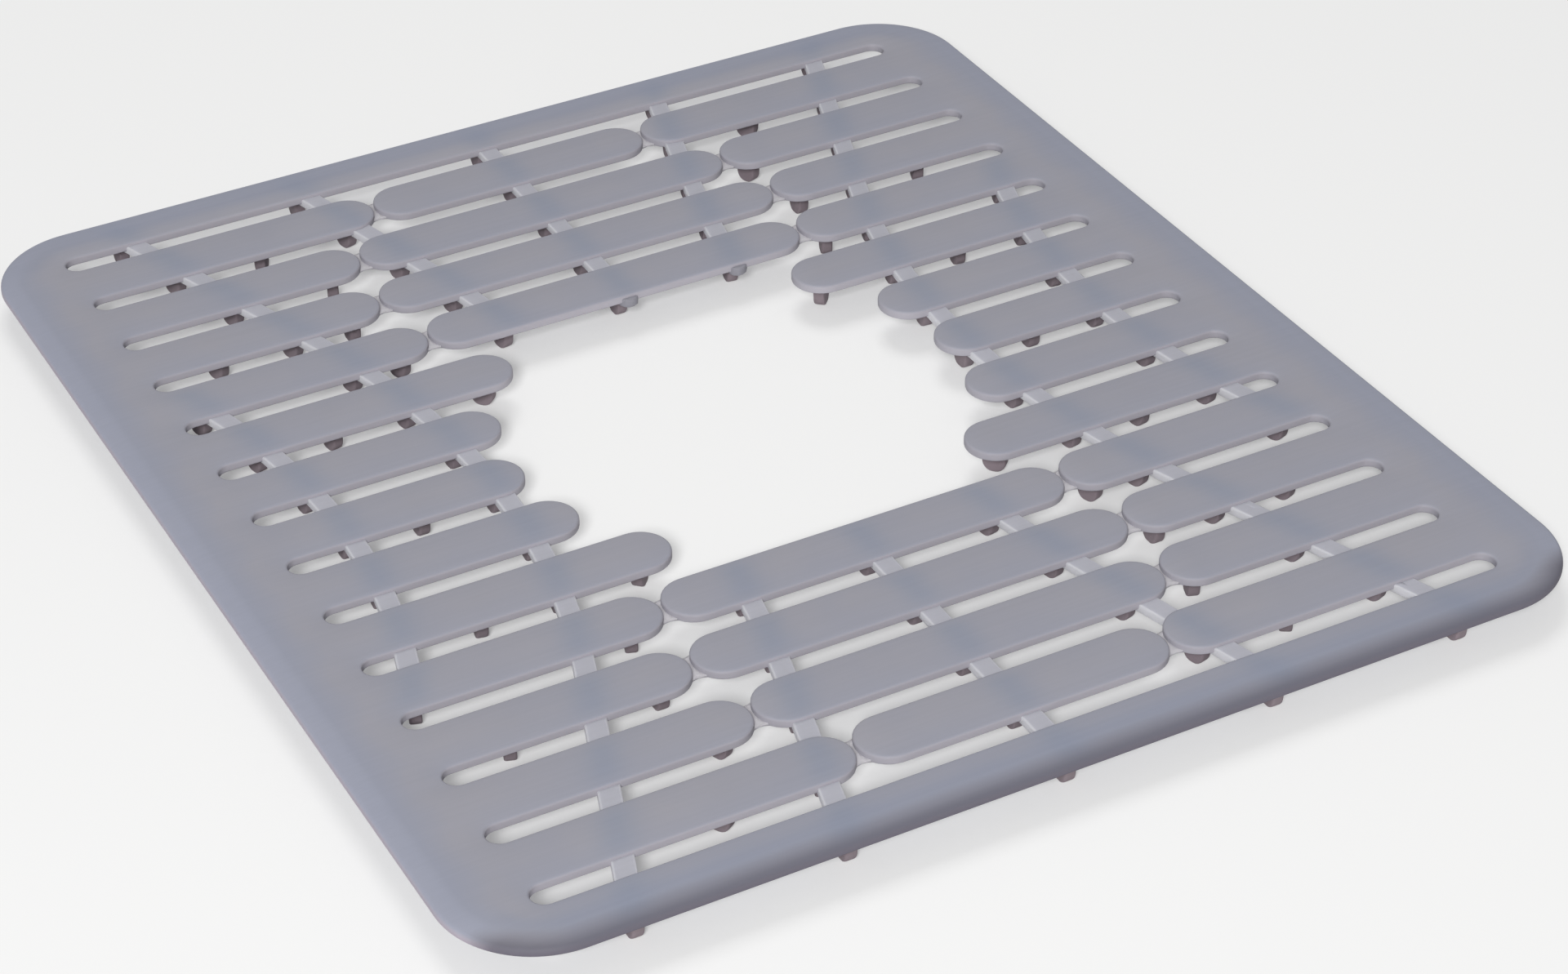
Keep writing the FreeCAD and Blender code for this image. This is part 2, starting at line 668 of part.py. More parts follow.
def group(name, pattern, stations, z=0.0, turn=0.0):
    """Separate copies of one piece, each moved to its station and leant clockwise in plan."""
    copies = []
    for x, y, lean in stations:
        copy = pattern.Shape.copy()
        copy.Placement = FreeCAD.Placement(point(x, y), turned(-lean))
        copies.append(copy)
    item = doc.addObject("Part::Feature", name)
    item.Label = name
    item.Shape = Part.makeCompound(copies)
    item.Placement = FreeCAD.Placement(FreeCAD.Vector(0, 0, z), turned(turn))
    return item


# ---------------------------------------------------------------- the whole mat

def build():
    parts = rim(slotted_blank())
    for row in range(1, ROWS + 1):
        parts.append(slat(f"left_slat_{row:02d}", row, 180))
        parts.append(slat(f"right_slat_{row:02d}", row, 0))
    for row in BACK_CENTRE_ROWS + FRONT_CENTRE_ROWS:
        parts.append(centre_slat(f"centre_slat_{row:02d}", row))
    skin = doc.addObject("Part::Compound", "skin")
    skin.Links = list(parts)

    parts += [
        rib("main_rib_right", main_rib_line, skin),
        rib("main_rib_left", main_rib_line, skin, UP),
        rib("outer_rib_right", outer_rib_line, skin),
        rib("outer_rib_left", outer_rib_line, skin, UP),
        rib("inner_rib_back_right", inner_rib_line, skin),
        rib("inner_rib_back_left", hidden_rib_line, skin, point(0, 1)),
        rib("inner_rib_front_right", hidden_rib_line, skin, point(1, 0)),
        rib("inner_rib_front_left", hidden_rib_line, skin, UP),
        centre_rib("centre_rib_back", skin, 0),
        centre_rib("centre_rib_front", skin, 180, HIDDEN_END),
    ]

    web = snip_web()
    rib_foot = foot("rib_foot", RIB_BOTTOM)
    slat_foot = foot("slat_foot", SKIN_BOTTOM)
    doc.recompute()
    web_z = length(SKIN_BOTTOM)
    parts += [
        group("snip_webs_back", web, web_stations(), z=web_z),
        group("snip_webs_front", web, web_stations(), z=web_z, turn=180),
        group("centre_feet_back", rib_foot, inner_and_centre_stations()),
        group("centre_feet_front", rib_foot, inner_and_centre_stations(), turn=180),
    ]
    for side, turn in (("left", 180), ("right", 0)):
        parts += [
            group(f"main_feet_{side}", rib_foot, main_stations(), turn=turn),
            group(f"outer_feet_{side}", rib_foot, outer_stations(), turn=turn),
            group(f"mid_feet_{side}", slat_foot, mid_stations(), turn=turn),
            group(f"tip_feet_{side}", slat_foot, tip_stations(), turn=turn),
        ]
    doc.recompute()
    return parts


def check(parts):
    """Stop if anything in the document failed, or a part has no sound solid."""
    for item in doc.Objects:
        if "Invalid" in item.State or "Error" in item.State:
            raise RuntimeError(f"{item.Label} failed to build: {item.State}")
    for part in parts:
        if part.Shape.isNull() or not part.Shape.isValid() or not part.Shape.Solids:
            raise RuntimeError(f"{part.Label} has no sound shape")


def write(parts):
    os.makedirs("parts", exist_ok=True)
    for part in parts:
        part.Shape.exportStep(os.path.join("parts", f"{part.Label}.step"))


mat_parts = build()
check(mat_parts)
write(mat_parts)
solids = sum(len(part.Shape.Solids) for part in mat_parts)
print(f"{len(mat_parts)} parts, {solids} solids")
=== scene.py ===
import math

import bmesh
import bpy
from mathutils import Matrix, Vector


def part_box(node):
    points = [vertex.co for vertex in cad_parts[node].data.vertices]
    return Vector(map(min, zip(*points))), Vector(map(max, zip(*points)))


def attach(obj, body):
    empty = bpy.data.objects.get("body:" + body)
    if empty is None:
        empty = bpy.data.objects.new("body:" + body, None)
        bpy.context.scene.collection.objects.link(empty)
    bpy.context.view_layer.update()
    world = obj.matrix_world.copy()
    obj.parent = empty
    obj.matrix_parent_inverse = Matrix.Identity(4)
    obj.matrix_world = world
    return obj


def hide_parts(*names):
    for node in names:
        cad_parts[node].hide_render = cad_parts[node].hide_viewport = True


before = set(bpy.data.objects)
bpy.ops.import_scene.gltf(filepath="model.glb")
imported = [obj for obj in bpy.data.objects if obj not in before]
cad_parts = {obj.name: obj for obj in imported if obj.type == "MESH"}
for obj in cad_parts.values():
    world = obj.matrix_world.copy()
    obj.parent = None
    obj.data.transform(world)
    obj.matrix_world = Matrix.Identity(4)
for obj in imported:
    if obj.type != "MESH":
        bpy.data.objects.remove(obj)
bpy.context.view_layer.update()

# Looks of the sink mat. Lengths are in metres and angles in degrees. X runs to the right, Y to the
# back and Z up, and row 1 is the furthest back.

# ---------------------------------------------------------------- sizes read from the frame

band_low, band_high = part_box("right_band")
first_slat_low, first_slat_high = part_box("right_slat_01")
middle_slat_low, middle_slat_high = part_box("right_slat_07")
border_low, border_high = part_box("back_border")
rib_low, rib_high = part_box("centre_rib_back")
web_low, web_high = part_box("snip_webs_back")

ROWS = 13
MIDDLE_ROW = 7
BACK_CENTRE_ROWS = (1, 2, 3, 4)
CENTRE_ROWS = BACK_CENTRE_ROWS + (10, 11, 12, 13)
OUTER_RIB_ROWS = (4, 5, 6, 7, 8, 9, 10)
TIP_FOOT_ROWS = (2, 3, 4, 5, 9, 10, 11, 12)
MID_FOOT_ROWS = (1, 3, 5, 7, 9, 11, 13)
CIRCLE_ROWS = (3, 11)

TOP = band_high.z
SKIN_BOTTOM = band_low.z
HALF_WIDTH = band_high.x
HALF_LENGTH = border_high.y
SLAT_HALF = middle_slat_high.y
SLAT_ROOT = middle_slat_high.x
ROW_PITCH = (first_slat_low.y + first_slat_high.y) / 2 / (MIDDLE_ROW - 1)
SLOT_RADIUS = ROW_PITCH / 2 - SLAT_HALF
FIRST_SLOT = border_low.y
RIB_TOP = rib_high.z
RIB_BOTTOM = rib_low.z
RIB_HALF = rib_high.x

# ---------------------------------------------------------------- sizes of the moulding's details

# The skin: its corners, round edges, crown and sloping rim.
CORNER_RADIUS = 0.0240
EDGE_ROUND = 0.0006
LOWER_ROUND = 0.0003
OUTER_ROUND = 0.0010
CROWN = 0.0003
OUTER_SLOPE = 0.0058
OUTER_DROP = 0.0007
SLOPE_POWER = 1.5

# How finely the edges are drawn: spacings along them, steps round their arcs, and where a section's
# points lie on its way in over the top.
STATION_SPACING = 0.0020
OUTLINE_SPACING = 0.0014
SLOT_STEPS = 12
ROUND_STEPS = 24
EDGE_STEPS = 6
END_POINTS = 16
QUARTER_TURN = (0, 30, 60, 90)
TOP_SHARES = (0.1, 0.22, 0.36, 0.52, 0.68, 0.84, 1)

# Half the strip that a bar's section leaves open along its middle, and the tolerances of closing up.
SPINE_GAP = 0.0006
MERGE_DISTANCE = 1e-6
LEVEL_TOLERANCE = 1e-5

# The ribs. A line has a waist, a radius of bend and the lean at which it turns straight. The outer
# ribs end before they reach their lean.
OPENING_RADIUS = middle_slat_low.x
MAIN_BEND = 0.244
MAIN_LEAN = 18.9
OUTER_INSET = 0.037375
OUTER_BEND = 0.207
OUTER_LEAN = 60.0
INNER_INSET = 0.0305
INNER_BEND = 0.409
INNER_LEAN = 14.8
MAIN_LINE = (OPENING_RADIUS + SLAT_HALF, MAIN_BEND, MAIN_LEAN)
OUTER_LINE = (HALF_WIDTH - OUTER_INSET, OUTER_BEND, OUTER_LEAN)
INNER_LINE = (OPENING_RADIUS - INNER_INSET, INNER_BEND, INNER_LEAN)
RIB_ROUND = 0.0004
RIB_EDGE_WIDTH = 0.0006
STUB_LENGTH = 0.0015

# The feet and the snip webs. A foot's levels are shares of its corner's height, and its edges are
# rounded by no more than the limit, a share of half its size at that level.
BORDER_FOOT_INSET = 0.0071
FOOT_WIDTH = 0.0072
FOOT_TIP_WIDTH = 0.0055
FOOT_THICKNESS = 0.0030
FOOT_CORNER = 0.0026
FOOT_EDGE = 0.0006
FOOT_EDGE_LIMIT = 0.8
FOOT_FLARE = 0.0005
FOOT_SINK = 0.0002
FOOT_LEVELS = (0.01, 0.05, 0.12, 0.22, 0.35, 0.5, 0.72, 1)
TIP_GAP = 0.0010
WEB_LENGTH = 0.0088
WEB_HOLLOW = 0.0034
WEB_TUCK = 0.0004
WEB_STEPS_ACROSS = 5
WEB_STEPS_ALONG = 6

# The marks that paint light and shade on the silicone: where they begin, and how far they take to fade.
# Painted shade over the ribs behind the skin, weaker near an edge.
BACKING_SPREAD = 0.0046
BACKING_RIM = 0.35
BACKING_FADE = 0.0040
# Painted shade on a slat's near half.
NEAR_FADE = 0.0080
# Painted shade in a band just inside the rim's slope.
RIDGE_INSET = 0.0070
RIDGE_SPREAD = 0.0028
# Painted light on the rim's outer slope, kept off the front.
SLOPE_FADE = 0.0030
# Painted shade along the front border's outer strip and wall.
BROW_INSET = 0.0140
BROW_RISE = 0.0060
BROW_FADE = 0.0060
# Painted light on the walls that face the front.
WALL_RISE = 0.0001
WALL_FADE = 0.0004
# Painted light on the rim's lower outer wall.
SKIRT_DROP = 0.0008
SKIRT_FADE = 0.0010
STUB_TONED = 0.0050
STUB_FADE = 0.0050


def row_y(row):
    """Where the middle of a row of slats lies along Y."""
    return (MIDDLE_ROW - row) * ROW_PITCH


def tip_x(row):
    """How far from the middle a row's side slat begins."""
    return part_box(f"right_slat_{row:02d}")[0].x


def held(value):
    """A number held between 0 and 1."""
    return max(0, min(1, value))


BORDER_FOOT = HALF_LENGTH - BORDER_FOOT_INSET
RIB_END = BORDER_FOOT + FOOT_WIDTH / 2
STUB_END = row_y(BACK_CENTRE_ROWS[-1]) - SLAT_HALF - STUB_LENGTH
HIDDEN_END = row_y(BACK_CENTRE_ROWS[-1]) - FOOT_WIDTH / 2
OUTER_RIB_END = row_y(OUTER_RIB_ROWS[0]) + FOOT_WIDTH / 2


# ---------------------------------------------------------------- nodes

def add_node(tree, kind, **settings):
    """A node with its properties and its sockets' values set by name."""
    node = tree.nodes.new(kind)
    inputs = settings.pop("inputs", {})
    for name, value in settings.items():
        setattr(node, name, value)
    for name, value in inputs.items():
        if isinstance(value, bpy.types.NodeSocket):
            tree.links.new(value, node.inputs[name])
        else:
            node.inputs[name].default_value = value
    return node


def mix_colour(tree, factor, first, second, mode="MIX"):
    """The output of a colour mix."""
    node = tree.nodes.new("ShaderNodeMix")
    node.data_type = "RGBA"
    node.blend_type = mode
    sockets = {s.identifier: s for s in node.inputs}
    for name, value in (("Factor_Float", factor), ("A_Color", first), ("B_Color", second)):
        if isinstance(value, bpy.types.NodeSocket):
            tree.links.new(value, sockets[name])
        else:
            sockets[name].default_value = value
    return next(s for s in node.outputs if s.identifier == "Result_Color")


def map_value(tree, value, low=0.0, high=1.0, to_low=0.0, to_high=1.0):
    """A value moved from one range to another, and held inside it."""
    node = add_node(tree, "ShaderNodeMapRange", inputs={
        "Value": value, "From Min": low, "From Max": high, "To Min": to_low, "To Max": to_high})
    return node.outputs["Result"]


def attribute(tree, name):
    """A mark that is kept on the piece's vertices."""
    return add_node(tree, "ShaderNodeAttribute", attribute_name=name).outputs["Fac"]


def noise(tree, place, scale, detail, roughness):
    """A noise over a place, its scale in repeats to the metre."""
    node = add_node(tree, "ShaderNodeTexNoise", inputs={
        "Vector": place, "Scale": scale, "Detail": detail, "Roughness": roughness})
    return node.outputs["Fac"]


# ---------------------------------------------------------------- materials

# Scales are in repeats to the metre. A range is the part of a noise that is spread out from 0 to 1,
# and a share is the most that it changes the tone.
CLOUD_SCALE = 60.0
CLOUD_RANGE = (0.3, 0.7)
CLOUD_SHARE = 0.32
STREAK_SCALE = 900.0
STREAK_STRETCH = (0.03, 1.0, 1.0)
STREAK_RANGE = (0.35, 0.65)
STREAK_SHARE = 0.012
PEBBLE_SCALE = 2200.0
PEBBLE_HEIGHT = 0.0002
PEBBLE_BUMP = 0.06
SMOOTHER = 0.04
ROUGHER = 0.06
SPECULAR = 0.20


def cloudy_group():
    """Cloudy tone, fine streaks along X and a soft pebbled normal, as moulded silicone has."""
    group = bpy.data.node_groups.new("cloudy_silicone", "ShaderNodeTree")
    for name in ("Cloud Scale", "Streak Scale", "Bump"):
        group.interface.new_socket(name, in_out="INPUT", socket_type="NodeSocketFloat")
    for name, kind in (("Cloud", "Float"), ("Streak", "Float"), ("Normal", "Vector")):
        group.interface.new_socket(name, in_out="OUTPUT", socket_type=f"NodeSocket{kind}")
    given = add_node(group, "NodeGroupInput").outputs
    place = add_node(group, "ShaderNodeTexCoord").outputs["Object"]
    stretched = add_node(group, "ShaderNodeMapping", inputs={"Vector": place, "Scale": STREAK_STRETCH})
    cloud = noise(group, place, given["Cloud Scale"], detail=3.0, roughness=0.5)
    streak = noise(group, stretched.outputs["Vector"], given["Streak Scale"], detail=2.0, roughness=0.6)
    pebble = noise(group, place, PEBBLE_SCALE, detail=2.0, roughness=0.6)
    bump = add_node(group, "ShaderNodeBump", inputs={
        "Strength": given["Bump"], "Distance": PEBBLE_HEIGHT, "Height": pebble})
    add_node(group, "NodeGroupOutput", inputs={
        "Cloud": map_value(group, cloud, *CLOUD_RANGE),
        "Streak": map_value(group, streak, *STREAK_RANGE),
        "Normal": bump.outputs["Normal"]})
    return group


CLOUDY = cloudy_group()


def start_material(name):
    """A material with a Principled shader on its output."""
    material = bpy.data.materials.new(name)
    material.use_nodes = True
    tree = material.node_tree
    tree.nodes.clear()
    output = add_node(tree, "ShaderNodeOutputMaterial")
    shader = add_node(tree, "ShaderNodeBsdfPrincipled")
    tree.links.new(shader.outputs["BSDF"], output.inputs["Surface"])
    return material, tree, shader


def blend_shaders(tree, factor, first, second):
    """Put a mix of two shaders on the material's output instead."""
    blend = add_node(tree, "ShaderNodeMixShader", inputs={"Fac": factor})
    tree.links.new(first, blend.inputs[1])
    tree.links.new(second, blend.inputs[2])
    tree.links.new(blend.outputs["Shader"], tree.nodes["Material Output"].inputs["Surface"])


def silicone(name, tone, deep_tone, roughness, passing, shades=()):
    """A satin silicone that lets a share of the light pass through it.

    Each shade is (attribute, colour, strength), laid over the cloudy tone; most of these are painted
    light and shade."""
    material, tree, shader = start_material(name)
    effect = add_node(tree, "ShaderNodeGroup", node_tree=CLOUDY, inputs={
        "Cloud Scale": CLOUD_SCALE, "Streak Scale": STREAK_SCALE, "Bump": PEBBLE_BUMP}).outputs
    colour = mix_colour(tree, map_value(tree, effect["Cloud"], to_high=CLOUD_SHARE), tone, deep_tone)
    for attribute_name, shade, strength in shades:
        amount = map_value(tree, attribute(tree, attribute_name), to_high=strength)
        colour = mix_colour(tree, amount, colour, shade)
    streaks = map_value(tree, effect["Streak"], to_low=1.0 - STREAK_SHARE, to_high=1.0 + STREAK_SHARE)
    grey = add_node(tree, "ShaderNodeCombineColor", inputs={
        "Red": streaks, "Green": streaks, "Blue": streaks})
    colour = mix_colour(tree, 1.0, colour, grey.outputs["Color"], "MULTIPLY")
    satin = map_value(tree, effect["Cloud"], to_low=roughness - SMOOTHER, to_high=roughness + ROUGHER)
    tree.links.new(colour, shader.inputs["Base Color"])
    tree.links.new(satin, shader.inputs["Roughness"])
    tree.links.new(effect["Normal"], shader.inputs["Normal"])
    shader.inputs["Specular IOR Level"].default_value = SPECULAR
    through = add_node(tree, "ShaderNodeBsdfTranslucent", inputs={"Color": colour})
    blend_shaders(tree, passing, shader.outputs["BSDF"], through.outputs["BSDF"])
    return material


SKIN_TONE = (0.408, 0.403, 0.450, 1)
SKIN_DEEP = (0.360, 0.375, 0.456, 1)
# Painted shade: the skin darker and bluer over a rib behind it, where less light comes through.
RIB_SHADE = (0.292, 0.334, 0.434, 1)
# Painted shade: the front border's outer strip and wall darker, laid over the rest.
BROW_SHADE = (0.118, 0.113, 0.145, 1)
# Painted shade: a slat's near half darker and bluer, where its crown turns from the light.
NEAR_SHADE = (0.362, 0.375, 0.452, 1)
# Painted shade: a darker, bluer band along the rim, inside its slope.
RIDGE_SHADE = (0.312, 0.342, 0.442, 1)
# Painted light: the rim's outer slope lighter and bluer, except at the front.
SLOPE_LIGHT = (0.382, 0.405, 0.498, 1)
# Painted light: the front-facing walls of the slats and rim made lighter.
WALL_LIGHT = (0.500, 0.480, 0.530, 1)
# Painted light: the rim's lower outer wall lighter and pinker.
SKIRT_LIGHT = (0.480, 0.430, 0.500, 1)
# Painted light: the ribs are the skin's silicone made lighter, as if lit through.
RIB_LIT_TONE = (0.640, 0.640, 0.700, 1)
RIB_LIT_DEEP = (0.590, 0.600, 0.660, 1)
# Painted highlight: a near-white line along each rib's edges.
RIB_EDGE_HIGHLIGHT = (0.940, 0.940, 0.960, 1)
# Painted light: the webs are the skin's silicone made near white, as if lit through in their shaded gap.
WEB_LIT_TONE = (0.850, 0.835, 0.860, 1)
WEB_LIT_DEEP = (0.800, 0.790, 0.820, 1)
# Painted shade: the feet are the skin's silicone made darker and redder, as they stand in shade.
FOOT_SHADED_TONE = (0.345, 0.285, 0.315, 1)
FOOT_SHADED_DEEP = (0.280, 0.232, 0.260, 1)

# The skin's painted light and shade, mark by mark, laid over its own cloudy tone.
skin_material = silicone(
    "skin_silicone", SKIN_TONE, SKIN_DEEP, roughness=0.58, passing=0.25,
    shades=(("near", NEAR_SHADE, 0.5), ("shade_over_ribs", RIB_SHADE, 0.5), ("ridge", RIDGE_SHADE, 0.5),
            ("slope", SLOPE_LIGHT, 0.7), ("wall", WALL_LIGHT, 1.0), ("skirt", SKIRT_LIGHT, 1.0),
            ("brow", BROW_SHADE, 0.85)))
# The ribs: a painted-light copy of the skin's silicone, with painted highlights on their edges.
rib_material = silicone(
    "rib_silicone_painted_light", RIB_LIT_TONE, RIB_LIT_DEEP, roughness=0.40, passing=0.45,
    shades=(("lip", RIB_EDGE_HIGHLIGHT, 0.8), ("stub", SKIN_TONE, 1.0)))
# The webs carry painted light in their colour.
web_material = silicone("web_silicone_painted_light", WEB_LIT_TONE, WEB_LIT_DEEP, roughness=0.35, passing=0.6)
# The feet carry painted shade in their colour.
foot_material = silicone("foot_silicone_painted_shade", FOOT_SHADED_TONE, FOOT_SHADED_DEEP, roughness=0.55, passing=0.35)


# ---------------------------------------------------------------- the skin: rim and side slats

def spaced(start, end):
    """Shares of the way along a straight run, from its start up to but without its end."""
    count = max(2, math.ceil((end - start).length / STATION_SPACING))
    return [index / count for index in range(count)]


def straight(start, end, inward):
    """Stations along a straight edge: a point and the direction into the moulding."""
    return [(start.lerp(end, share), inward) for share in spaced(start, end)]


def round_stretch(centre, radius, first_angle, turn, inward_sign, steps):
    """Stations round an arc, without its last. The moulding is inside the arc where the sign is -1."""
    stations = []
    for step in range(steps):
        angle = math.radians(first_angle + turn * step / steps)
        outward = Vector((math.cos(angle), math.sin(angle)))
        stations.append((centre + outward * radius, outward * inward_sign))
    return stations


def slot_end(y):
    """Stations round the end of a right-hand slot whose middle is at y."""
    return round_stretch(Vector((SLAT_ROOT, y)), SLOT_RADIUS, 90, -180, 1, SLOT_STEPS)


def inner_edge():
    """The edge round the slots and the drain opening, clockwise from the back border's left end."""
    up, down = Vector((0, 1)), Vector((0, -1))
    stations = straight(Vector((-SLAT_ROOT, FIRST_SLOT)), Vector((SLAT_ROOT, FIRST_SLOT)), up)
    for row in range(1, ROWS + 1):
        y = row_y(row)
        tip = tip_x(row) + SLAT_HALF
        stations += slot_end(y + ROW_PITCH / 2)
        stations += straight(Vector((SLAT_ROOT, y + SLAT_HALF)), Vector((tip, y + SLAT_HALF)), down)
        stations += round_stretch(Vector((tip, y)), SLAT_HALF, 90, 180, -1, ROUND_STEPS)
        stations += straight(Vector((tip, y - SLAT_HALF)), Vector((SLAT_ROOT, y - SLAT_HALF)), up)
    stations += slot_end(-row_y(1) - ROW_PITCH / 2)
    return stations + [(Vector((-p.x, -p.y)), Vector((-n.x, -n.y))) for p, n in stations]


def outer_edge():
    """The mat's outline, anticlockwise."""
    x, y = HALF_WIDTH - CORNER_RADIUS, HALF_LENGTH - CORNER_RADIUS
    corners = ((x, y, 0), (-x, y, 90), (-x, -y, 180), (x, -y, 270))
    stations = []
    for index, (centre_x, centre_y, angle) in enumerate(corners):
        centre = Vector((centre_x, centre_y))
        following = Vector(corners[(index + 1) % len(corners)][:2])
        end_angle = math.radians(angle + 90)
        outward = Vector((math.cos(end_angle), math.sin(end_angle)))
        side = outward * CORNER_RADIUS
        stations += round_stretch(centre, CORNER_RADIUS, angle, 90, -1, ROUND_STEPS)
        stations += straight(centre + side, following + side, -outward)
    return stations


def crown_drop(inset):
    """How far the crowned face lies under its highest line, at a distance in from its edge."""
    return CROWN * (1 - min(inset / SLAT_HALF, 1)) ** 2


def slope_drop(inset):
    """How far the rim's slope lies under its flat face, at a distance in from the outline."""
    return OUTER_DROP * (1 - min(inset / OUTER_SLOPE, 1)) ** SLOPE_POWER


def lower_edge(radius, bottom):
    """(inset, height) pairs round a lower edge, from the underside to the wall."""
    turns = [math.radians(angle) for angle in QUARTER_TURN]
    return [(radius * (1 - math.sin(turn)), bottom + radius * (1 - math.cos(turn))) for turn in turns]


def edge_section(reach, drop, edge_round=EDGE_ROUND):
    """(inset, height) pairs from the underside, up the wall, round the edge and in over the top."""
    section = [(reach, SKIN_BOTTOM), (reach / 2, SKIN_BOTTOM)] + lower_edge(LOWER_ROUND, SKIN_BOTTOM)
    lip = TOP - drop(0) - edge_round
    section.append((0, (section[-1][1] + lip) / 2))
    for step in range(EDGE_STEPS + 1):
        angle = math.radians(90 * step / EDGE_STEPS)
        inset = edge_round * (1 - math.cos(angle))
        section.append((inset, lip + drop(0) - drop(inset) + edge_round * math.sin(angle)))
    insets = [edge_round + (reach - edge_round) * share for share in TOP_SHARES]
    return section + [(inset, TOP - drop(inset)) for inset in insets]


def join_lines(mesh, lower, upper, closed=False):
    """Faces between two lines of as many vertices, and from their last to their first where closed."""
    for index in range(len(lower) if closed else len(lower) - 1):
        following = (index + 1) % len(lower)
        mesh.faces.new((lower[index], lower[following], upper[following], upper[index]))


def sweep(mesh, stations, section, inset_layer):
    """Carry a section round a closed edge, and note on each vertex how far in from the edge it is."""
    rings = []
    for inset, height in section:
        ring = []
        for place, inward in stations:
            flat = place + inward * inset
            vertex = mesh.verts.new((flat.x, flat.y, height))
            vertex[inset_layer] = inset
            ring.append(vertex)
        rings.append(ring)
    for lower, upper in zip(rings, rings[1:]):
        join_lines(mesh, lower, upper, closed=True)


def rib_x(y, line):
    """Where a rib's line lies across X: an arc about its waist, then straight."""
    waist, bend, lean = line
    turn_y = bend * math.sin(math.radians(lean))
    arc_y = min(abs(y), turn_y)
    run = max(abs(y) - turn_y, 0) * math.tan(math.radians(lean))
    return waist + bend - math.sqrt(bend * bend - arc_y * arc_y) + run


def rib_lean(y, line):
    """How far a rib's line leans from Y, positive in the back half of the mat."""
    bend, lean = line[1:]
    return math.copysign(min(math.degrees(math.asin(min(abs(y) / bend, 1))), lean), y)


def away_from(x, y, line):
    """How far a place lies from a rib's line, square to the line."""
    return (abs(x) - rib_x(y, line)) * math.cos(math.radians(rib_lean(y, line)))


def rib_distance(x, y):
    """Distance in plan from a place to the nearest rib. An inner rib's is taken straight across."""
    past_inner = max(STUB_END - abs(y), abs(y) - RIB_END, 0)
    return min(math.hypot(away_from(x, y, MAIN_LINE), max(abs(y) - RIB_END, 0)),
               math.hypot(away_from(x, y, OUTER_LINE), max(abs(y) - OUTER_RIB_END, 0)),
               math.hypot(abs(x) - rib_x(y, INNER_LINE), past_inner),
               math.hypot(x, past_inner))


def outline_inset(x, y):
    """How far a place lies in from the mat's outline."""
    over_x = abs(x) - (HALF_WIDTH - CORNER_RADIUS)
    over_y = abs(y) - (HALF_LENGTH - CORNER_RADIUS)
    if over_x > 0 and over_y > 0:
        return CORNER_RADIUS - math.hypot(over_x, over_y)
    return CORNER_RADIUS - max(over_x, over_y)


def write_marks(data, **marks):
    """Keep a list of numbers, one for each vertex, under each name."""
    for name, numbers in marks.items():
        data.attributes.new(name, "FLOAT", "POINT").data.foreach_set("value", numbers)


def near_side(x, y):
    """Where painted shade darkens a slat's near half: 1 along its near edge, 0 from its middle to its far
    edge, and fading out over the bands.
    """
    row = min(max(round(MIDDLE_ROW - y / ROW_PITCH), 1), ROWS)
    return held((row_y(row) - y) / SLAT_HALF) * held((SLAT_ROOT + NEAR_FADE - abs(x)) / NEAR_FADE)


def front_side(y):
    """1 along the front border's edge, and 0 from further in than the brow's inset. The brow's painted
    shade follows it, and the slope's painted light keeps off it.
    """
    return held((BROW_INSET - HALF_LENGTH - y) / BROW_RISE)


def skin_marks(x, y, z, inset, facing):
    """Every painted light and shade mark at one place on the skin, by name. Facing is 1 on a wall that
    looks to the front.
    """
    rim = outline_inset(x, y)
    backed = BACKING_RIM + (1 - BACKING_RIM) * min(inset / BACKING_FADE, 1)
    return {
        "shade_over_ribs": math.exp(-(rib_distance(x, y) / BACKING_SPREAD) ** 2) * backed,
        "near": near_side(x, y),
        "ridge": math.exp(-((rim - RIDGE_INSET) / RIDGE_SPREAD) ** 2),
        "slope": held((RIDGE_INSET - rim) / SLOPE_FADE) * (1 - front_side(y)),
        "brow": max(0, 1 - rim / BROW_FADE) * front_side(y),
        "wall": max(0, 1 - inset / WALL_FADE) * held((TOP - CROWN - z) / WALL_RISE) * facing,
        "skirt": max(0, 1 - rim / SKIRT_FADE) * held((TOP - SKIRT_DROP - z) / SKIRT_FADE)}


def note_marks(data):
    """Mark where light and shade are painted on the skin: over the ribs behind it, on the slats' near
    sides, on the rim's slope and edges, and on the walls.
    """
    insets = [mark.value for mark in data.attributes["inset"].data]
    marks = [skin_marks(*vertex.co, inset, 0.5 - 0.5 * vertex.normal.y)
             for vertex, inset in zip(data.vertices, insets)]
    write_marks(data, **{name: [mark[name] for mark in marks] for name in marks[0]})


def add_piece(name, data, material):
    """A smooth-shaded piece in the scene, with one material."""
    data.polygons.foreach_set("use_smooth", [True] * len(data.polygons))
    data.materials.clear()
    data.materials.append(material)
    piece = bpy.data.objects.new(name, data)
    bpy.context.scene.collection.objects.link(piece)
    return piece


def finish_mesh(mesh, name, material):
    """A smooth-shaded piece from finished mesh code."""
    bmesh.ops.recalc_face_normals(mesh, faces=mesh.faces)
    data = bpy.data.meshes.new(name)
    mesh.to_mesh(data)
    mesh.free()
    return add_piece(name, data, material)


def settle(piece, slot_name, *nodes):
    """Put a piece on the one body, and hide the nodes whose place it takes."""
    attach(piece, "root")
    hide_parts(*nodes)


